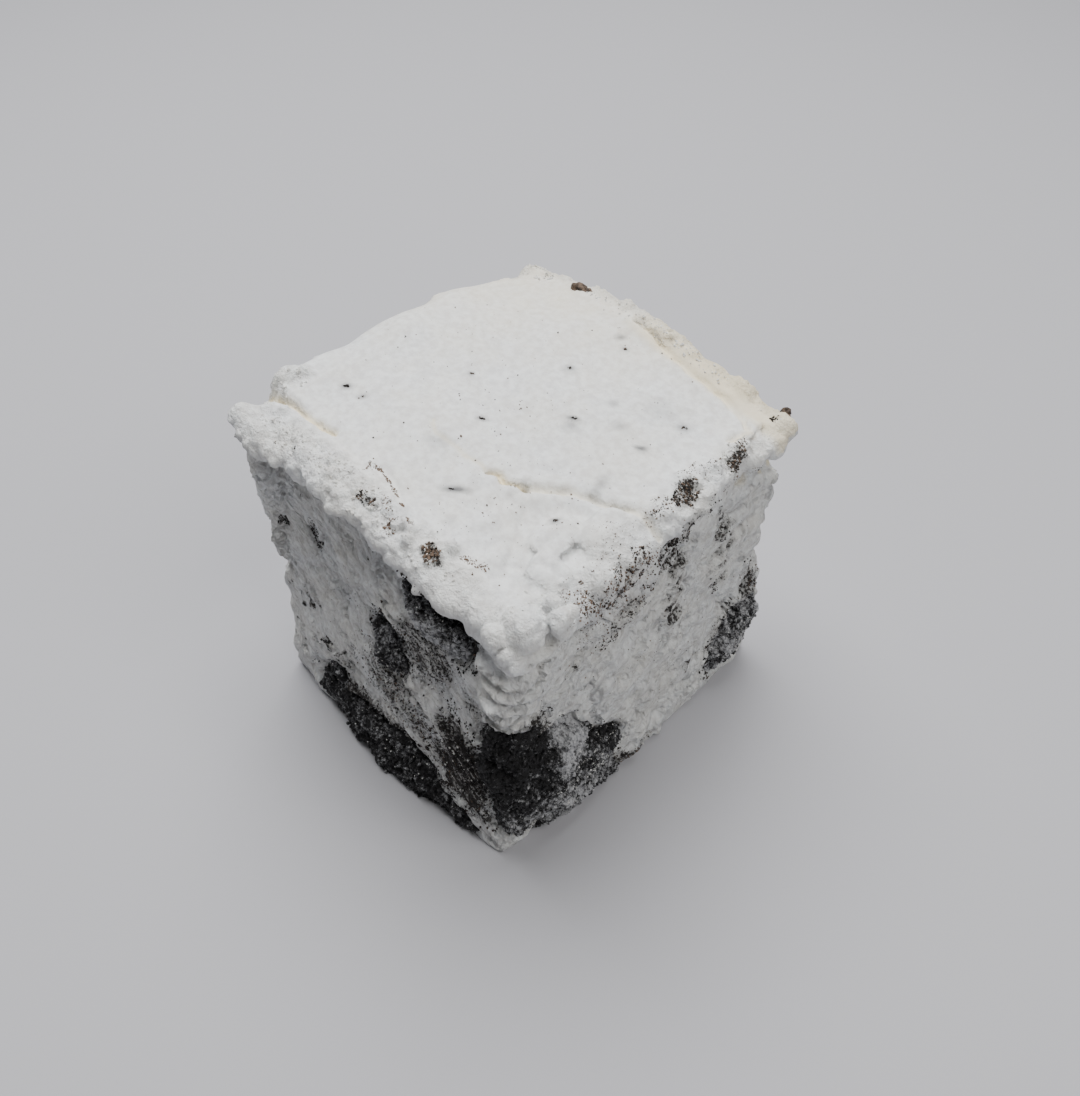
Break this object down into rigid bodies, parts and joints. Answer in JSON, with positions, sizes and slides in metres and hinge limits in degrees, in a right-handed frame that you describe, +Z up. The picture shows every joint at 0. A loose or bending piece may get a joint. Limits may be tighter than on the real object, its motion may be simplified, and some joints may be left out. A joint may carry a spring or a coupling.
{
  "type": "marshmallow",
  "caption": "Hand-cut square marshmallow block with a ragged overhanging skin at its top edge and lumps of crushed dark cookie set into its cut sides.",
  "frame": {"origin": "middle of the flat base, at the bottom centre of the whole piece's box", "axes": "+Z up, +X across the block and +Y along it; the torn nugget of the lip is at the +X, -Y corner"},
  "size_m": [0.048, 0.051, 0.046],
  "materials": {
    "marshmallow": "matte white set sugar foam, dusted",
    "cookie": "dry crushed dark cocoa cookie"
  },
  "bodies": {
    "root": {"marshmallow": "marshmallow", "cookie_front": "cookie", "cookie_strip": "cookie", "cookie_upper": "cookie", "cookie_left": "cookie", "cookie_right": "cookie"}
  },
  "joints": []
}
